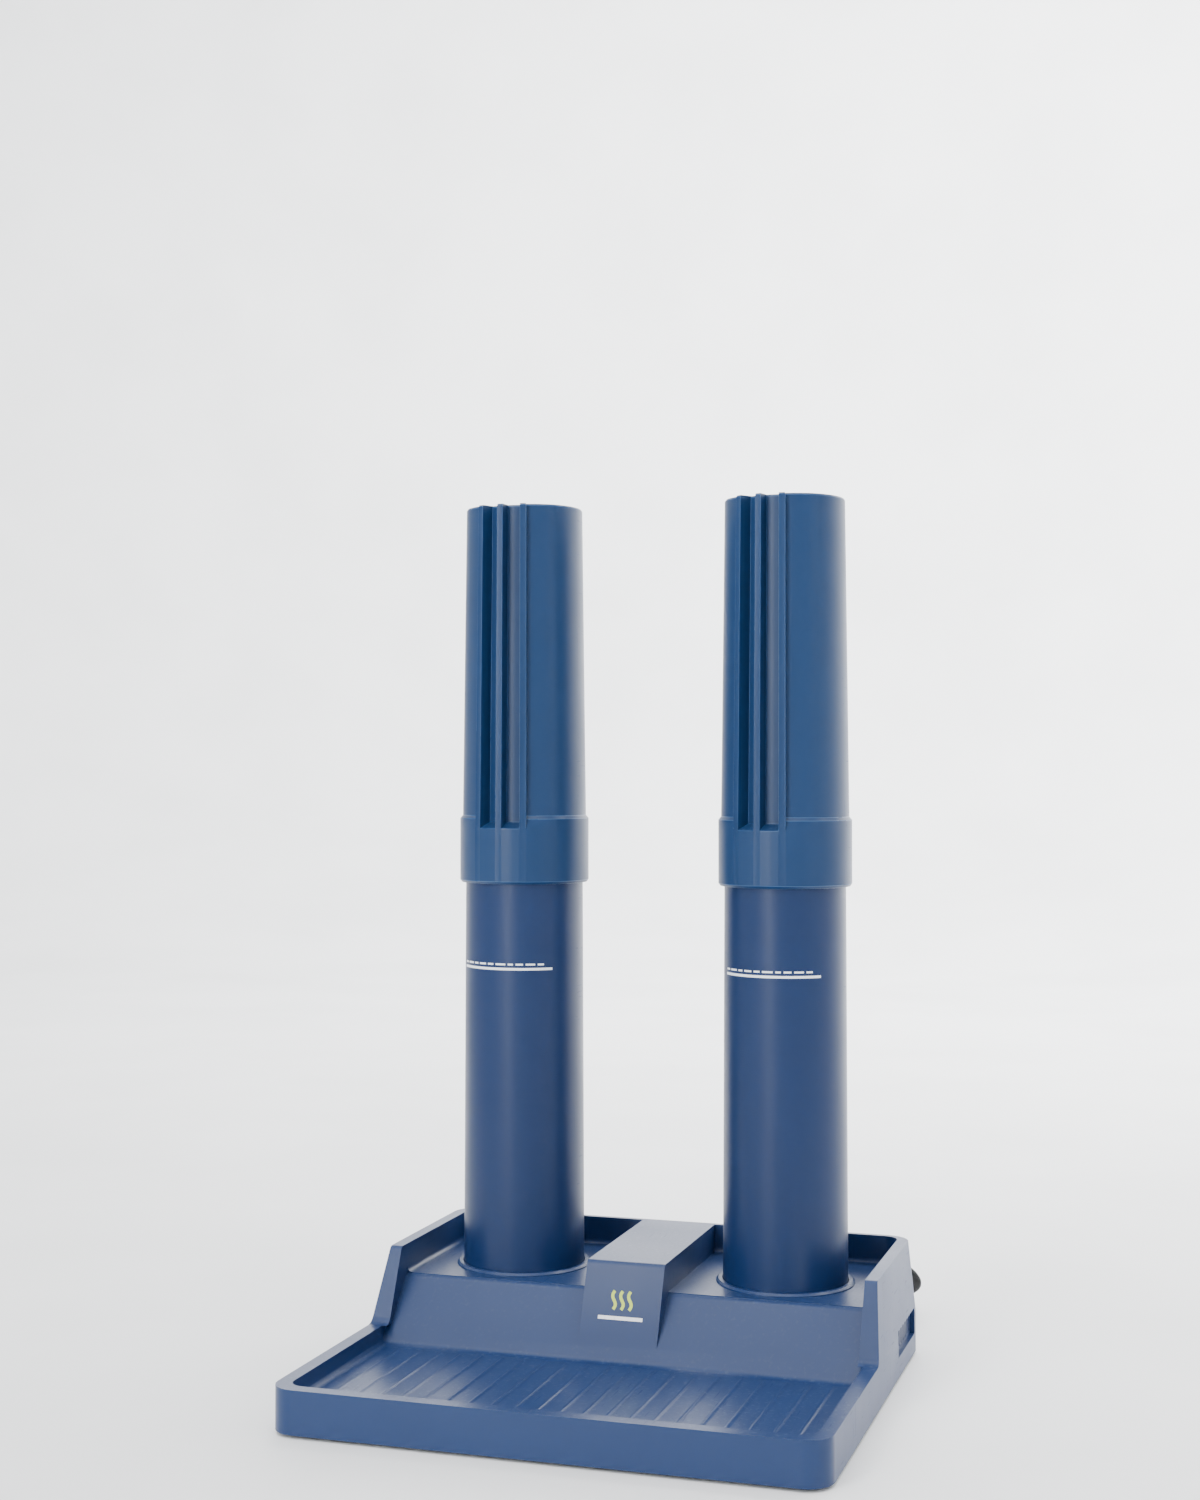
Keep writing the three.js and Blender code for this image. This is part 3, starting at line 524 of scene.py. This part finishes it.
def cross_recess(piece, centre, face):
    """Cuts a cross into a screw head that faces down, from just under its face upwards."""
    reach, half = 2.0 * MM, 0.36 * MM
    low, high = face - 0.2 * MM, face + 1.1 * MM
    cutters = bmesh.new()
    for turn in (0, math.pi / 2):
        size = Matrix.Diagonal((2 * reach, 2 * half, high - low, 1))
        place = Matrix.Translation((centre.x, centre.y, (low + high) / 2)) @ Matrix.Rotation(turn, 4, "Z")
        bmesh.ops.create_cube(cutters, size=1, matrix=place @ size)
    mesh = bpy.data.meshes.new("recess")
    cutters.to_mesh(mesh)
    cutters.free()
    cutter = show("recess", mesh)
    cut = piece.modifiers.new("recess", "BOOLEAN")
    cut.object = cutter
    cut.use_self = True
    bake_modifiers(piece)
    bpy.data.objects.remove(cutter)


for number in range(1, 7):
    screw = finished_copy(f"bottom_screw_{number}", [LOOKS["steel"]], 0.15 * MM, 2)
    low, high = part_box(f"bottom_screw_{number}")
    cross_recess(screw, (low + high) / 2, low.z)


# ---------------------------------------------------------------- printed marks
# Millimetres.
TUBE_CENTRES = {"left": (-86, 78), "right": (86, 78)}
TUBE_RADIUS = 38
TUBE_RADIUS_AT = 240                # the height where the tube has that radius
TUBE_DRAFT = 0.004                  # radius lost for each millimetre of height
LINE_TURN = (-57, 47)               # degrees round the tube from straight ahead
LINE_HEIGHT = (243.9, 245.4)
DASH_START = -56
DASHES = (6, 9, 5, 8, 6, 10, 5, 7, 9, 6)          # length of each, in degrees round the tube
DASH_GAP = 2.6
DASH_HEIGHT = (247.0, 248.1)
INK_UNDER = -0.05                   # the ink's back is just inside the plastic
INK_OVER_TUBE = 0.07
INK_OVER_BRIDGE = 0.08


def printed_strip(side, turn_range, height_range, steps):
    """The corners and faces of a thin strip round the lower tube, over a range of turn and of height."""
    x, y = TUBE_CENTRES[side]
    start, end = turn_range
    vertices = []
    for i in range(steps + 1):
        turn = math.radians(start + (end - start) * i / steps)
        for z in height_range:
            for lift in (INK_UNDER, INK_OVER_TUBE):
                radius = TUBE_RADIUS + (TUBE_RADIUS_AT - z) * TUBE_DRAFT + lift
                vertices.append(Vector((x + radius * math.sin(turn), y - radius * math.cos(turn), z)) * MM)
    return vertices, strip_faces(steps)


def printed_marks(side):
    """A plain line with a row of plain dashes over it, printed part of the way round the lower tube."""
    strips = [printed_strip(side, LINE_TURN, LINE_HEIGHT, 48)]
    start = DASH_START
    for length in DASHES:
        strips.append(printed_strip(side, (start, start + length), DASH_HEIGHT, 4))
        start += length + DASH_GAP
    vertices, faces = [], []
    for corners, sides in strips:
        faces += [tuple(len(vertices) + corner for corner in face) for face in sides]
        vertices += corners
    piece = show(f"printed_marks_{side}", mesh_of(f"printed_marks_{side}", vertices, faces))
    piece.data.materials.append(LOOKS["white_ink"])
    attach(piece, BODY_OF[f"lower_tube_{side}"])


# The bridge's sloping front, as (y, z) at its foot and at its top.
BRIDGE_FOOT = Vector((0, 2.6, 25.6)) * MM
BRIDGE_TOP = Vector((0, 20.5, 71)) * MM
MARK_AT = 0.45                      # how far up the front the mark's middle is


def on_bridge(across, up, lift):
    """A point on the bridge's front, across and up from the mark's middle, in millimetres."""
    rise = (BRIDGE_TOP - BRIDGE_FOOT).normalized()
    out = Vector((0, -rise.z, rise.y))
    middle = BRIDGE_FOOT.lerp(BRIDGE_TOP, MARK_AT)
    return middle + Vector((across, 0, 0)) * MM + rise * up * MM + out * lift * MM


def ribbon(name, line, width, ink_look):
    """A flat printed stroke along a line of (across, up) points."""
    vertices = []
    for i, (across, up) in enumerate(line):
        before = Vector(line[max(i - 1, 0)])
        after = Vector(line[min(i + 1, len(line) - 1)])
        along = (after - before).normalized()
        aside = Vector((-along.y, along.x)) * width / 2
        for side in (-1, 1):
            for lift in (INK_UNDER, INK_OVER_BRIDGE):
                vertices.append(on_bridge(across + side * aside.x, up + side * aside.y, lift))
    mesh = mesh_of(name, vertices, strip_faces(len(line) - 1))
    tidy = bmesh.new()
    tidy.from_mesh(mesh)
    bmesh.ops.recalc_face_normals(tidy, faces=tidy.faces)
    tidy.to_mesh(mesh)
    tidy.free()
    piece = show(name, mesh)
    piece.data.materials.append(ink_look)
    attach(piece, "base")


def warm_air_mark():
    """Three rising waves over a plain bar: a generic sign for warm air."""
    steps, reach, rise, foot = 20, 1.1, 0.55, -1.5
    for number, across in enumerate((-5, 0, 5), 1):
        wave = [(across + reach * math.sin(2 * math.pi * i / steps), foot + rise * i)
                for i in range(steps + 1)]
        ribbon(f"warm_air_wave_{number}", wave, 1.9, LOOKS["lime_ink"])
    ribbon("warm_air_bar", [(-14, -6.5), (0, -6.5), (14, -6.5)], 2.2, LOOKS["white_ink"])


for side in SIDES:
    printed_marks(side)
warm_air_mark()


# ---------------------------------------------------------------- floor and light
FLAT_FLOOR = 2.6                    # metres, radius of the flat part
FLOOR_CURVE = 1.6                   # radius of the curve that turns the floor up
FLOOR_EDGE = 3.2                    # height of its upper edge
CURVE_STEPS = 12


def bowl():
    """A pale floor that curves up far away on every side."""
    profile = [(0, 0), (FLAT_FLOOR, 0)]
    for i in range(1, CURVE_STEPS + 1):
        turn = math.radians(90 / CURVE_STEPS * i)
        height = FLOOR_CURVE - FLOOR_CURVE * math.cos(turn)
        profile.append((FLAT_FLOOR + FLOOR_CURVE * math.sin(turn), height))
    profile.append((FLAT_FLOOR + FLOOR_CURVE, FLOOR_EDGE))
    piece = turned("floor", [(r / MM, h / MM) for r, h in reversed(profile)], (0, 0, 0), "Z", 96)
    look = Look("floor_paint", (0.86, 0.87, 0.88), 0.6)
    look.tint((0.8, 0.81, 0.82), look.ramp(look.noise(3, 4), 0.4, 0.7))
    piece.data.materials.append(look.material)


def softbox(name, place, aim, size, watts):
    """A rectangular light at a place, turned towards a point; the camera doesn't see it."""
    data = bpy.data.lights.new(name, "AREA")
    data.shape = "RECTANGLE"
    data.size, data.size_y = size
    data.energy = watts
    light = bpy.data.objects.new(name, data)
    light.location = place
    light.visible_camera = False
    light.rotation_euler = (Vector(place) - Vector(aim)).to_track_quat("Z", "Y").to_euler()
    bpy.context.scene.collection.objects.link(light)


def studio():
    """An even white surround, soft lights in front and above, and one that lightens the wall behind."""
    world = bpy.data.worlds.new("studio")
    world.use_nodes = True
    sky = world.node_tree.nodes["Background"]
    sky.inputs["Color"].default_value = (1, 1, 1, 1)
    sky.inputs["Strength"].default_value = 0.9
    bpy.context.scene.world = world
    middle = (0, 0, 0.25)
    softbox("key", (-0.75, -1.9, 1.2), middle, (0.7, 1.7), 36)
    softbox("strip", (-0.5, -1.9, 0.4), (0, 0, 0.3), (0.22, 1.0), 9)
    softbox("fill", (1.9, -0.9, 1.0), middle, (1.0, 1.4), 4)
    softbox("top", (-0.2, -0.55, 2.3), middle, (2.2, 1.6), 46)
    softbox("wall", (0.6, 1.3, 2.7), (1.2, 3.8, 0.9), (2.6, 1.0), 420)


bowl()
studio()
